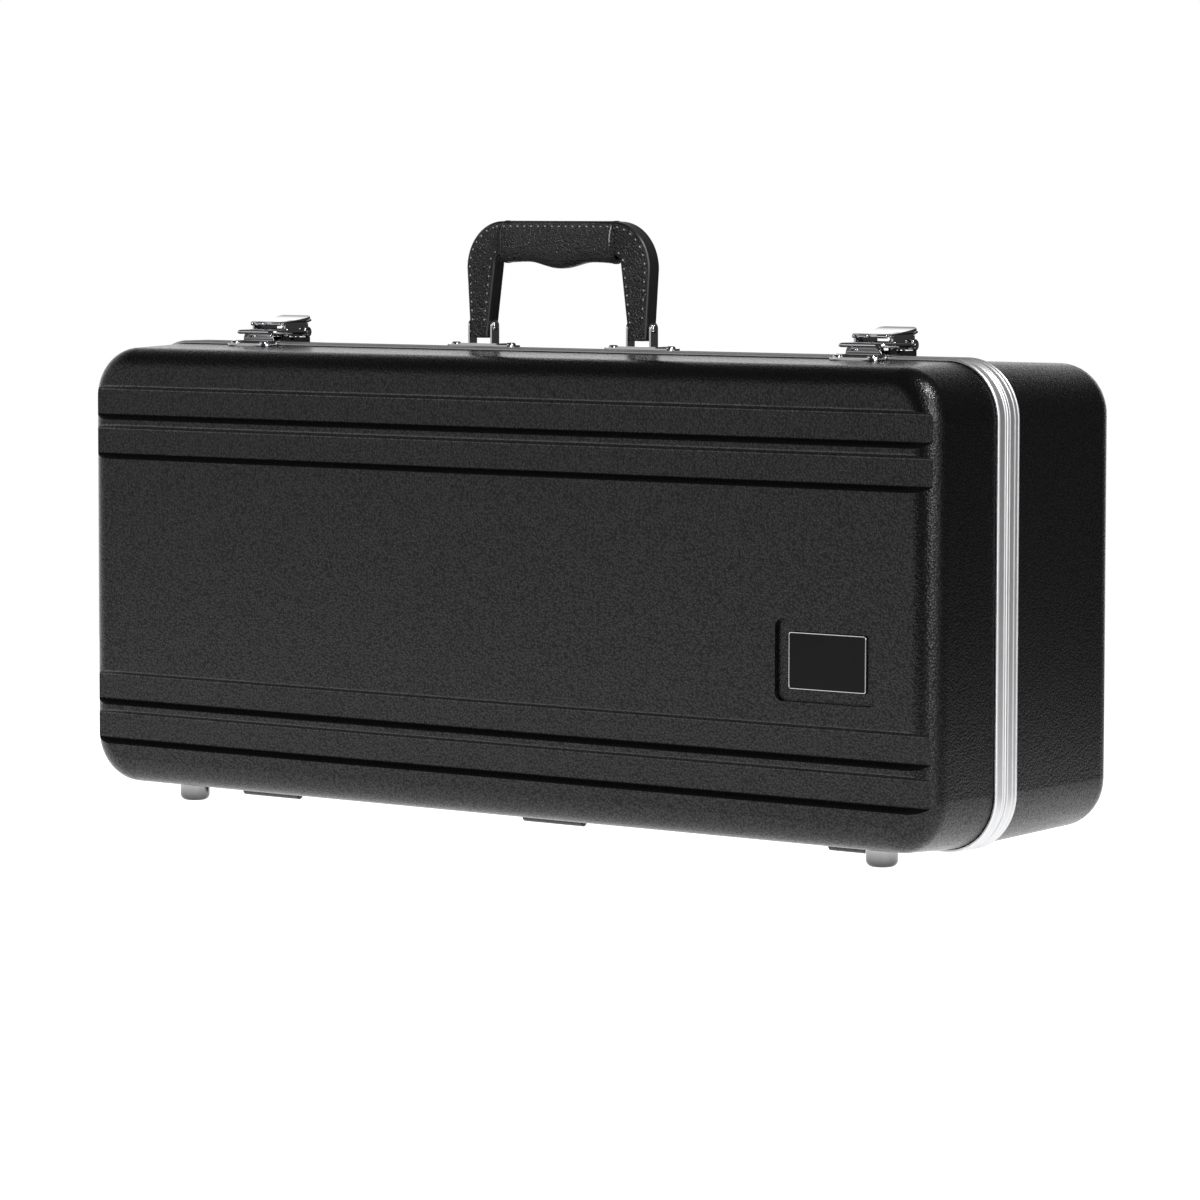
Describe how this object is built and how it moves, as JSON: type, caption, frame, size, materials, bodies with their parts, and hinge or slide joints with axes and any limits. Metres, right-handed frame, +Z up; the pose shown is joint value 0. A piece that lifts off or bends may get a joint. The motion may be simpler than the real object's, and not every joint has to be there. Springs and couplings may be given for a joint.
{
  "type": "alto saxophone case",
  "caption": "Hard rectangular saxophone case on four feet: hinged lid, draw latches, swinging padded handle, metal rim and channels along its faces.",
  "frame": {"origin": "centre of the bounding box's footprint, on the ground under the feet", "axes": "+X along the length to the right, -Y out of the lid's face, which is the front, +Z up to the handle"},
  "size_m": [0.6532, 0.183, 0.3625],
  "materials": {
    "shell_plastic": "fine leather grain, satin",
    "valance_aluminium": "satin anodised extrusion",
    "plush_lining": "short plush pile",
    "badge_gloss": "bare glossy plate with a bright edge",
    "hinge_black": "black enamel",
    "handle_leather": "pebbled, stitched along its edges",
    "zinc_steel": "zinc plated",
    "bright_chrome": "polished"
  },
  "bodies": {
    "base": {"base_shell": "shell_plastic", "base_valance": "valance_aluminium", "base_liner": "plush_lining", "rear_foot_left": "bright_chrome", "rear_foot_right": "bright_chrome", "rear_foot_screws": "zinc_steel", "hinge_base_leaf_left": "hinge_black", "hinge_base_leaf_middle": "hinge_black", "hinge_base_leaf_right": "hinge_black", "hinge_pin_left": "hinge_black", "hinge_pin_middle": "hinge_black", "hinge_pin_right": "hinge_black", "hinge_base_rivets": "hinge_black", "handle_plate_left": "bright_chrome", "handle_plate_right": "bright_chrome", "handle_pin_left": "bright_chrome", "handle_pin_right": "bright_chrome", "handle_rivets": "bright_chrome", "latch_base_left": "bright_chrome", "latch_base_right": "bright_chrome", "latch_pivot_left": "bright_chrome", "latch_pivot_right": "bright_chrome", "latch_rivets": "bright_chrome"},
    "lid": {"lid_shell": "shell_plastic", "lid_valance": "valance_aluminium", "lid_liner": "plush_lining", "badge_plate": "badge_gloss", "front_foot_left": "bright_chrome", "front_foot_right": "bright_chrome", "front_foot_screws": "zinc_steel", "hinge_lid_leaf_left": "hinge_black", "hinge_lid_leaf_middle": "hinge_black", "hinge_lid_leaf_right": "hinge_black", "hinge_lid_rivets": "hinge_black", "keeper_left": "bright_chrome", "keeper_right": "bright_chrome", "keeper_rivets": "bright_chrome"},
    "handle": {"handle_core": "zinc_steel", "handle_front_panel": "handle_leather", "handle_rear_panel": "handle_leather", "handle_bushes": "zinc_steel", "handle_grip": "handle_leather"},
    "lever_left": {"latch_lever_left": "bright_chrome", "latch_bail_pin_left": "bright_chrome"},
    "bail_left": {"latch_bail_left": "bright_chrome"},
    "lever_right": {"latch_lever_right": "bright_chrome", "latch_bail_pin_right": "bright_chrome"},
    "bail_right": {"latch_bail_right": "bright_chrome"}
  },
  "joints": [
    {"name": "lid_hinge", "type": "hinge", "parent": "base", "child": "lid", "pos_m": [0, -0.0255, 0.0047], "axis": [1, 0, 0], "range_deg": [0, 105]},
    {"name": "handle_swing", "type": "hinge", "parent": "base", "child": "handle", "pos_m": [0, -0.0193, 0.2988], "axis": [1, 0, 0], "range_deg": [-85, 85]},
    {"name": "lever_left_turn", "type": "hinge", "parent": "base", "child": "lever_left", "pos_m": [-0.232, -0.021, 0.2929], "axis": [1, 0, 0], "range_deg": [0, 100]},
    {"name": "bail_left_turn", "type": "hinge", "parent": "lever_left", "child": "bail_left", "pos_m": [-0.232, -0.0055, 0.2921], "axis": [1, 0, 0], "range_deg": [-100, 0]},
    {"name": "lever_right_turn", "type": "hinge", "parent": "base", "child": "lever_right", "pos_m": [0.232, -0.021, 0.2929], "axis": [1, 0, 0], "range_deg": [0, 100]},
    {"name": "bail_right_turn", "type": "hinge", "parent": "lever_right", "child": "bail_right", "pos_m": [0.232, -0.0055, 0.2921], "axis": [1, 0, 0], "range_deg": [-100, 0]}
  ],
  "couplings": [
    {"joint": "bail_left_turn", "follows": "lever_left_turn", "ratio": -1},
    {"joint": "bail_right_turn", "follows": "lever_right_turn", "ratio": -1}
  ]
}
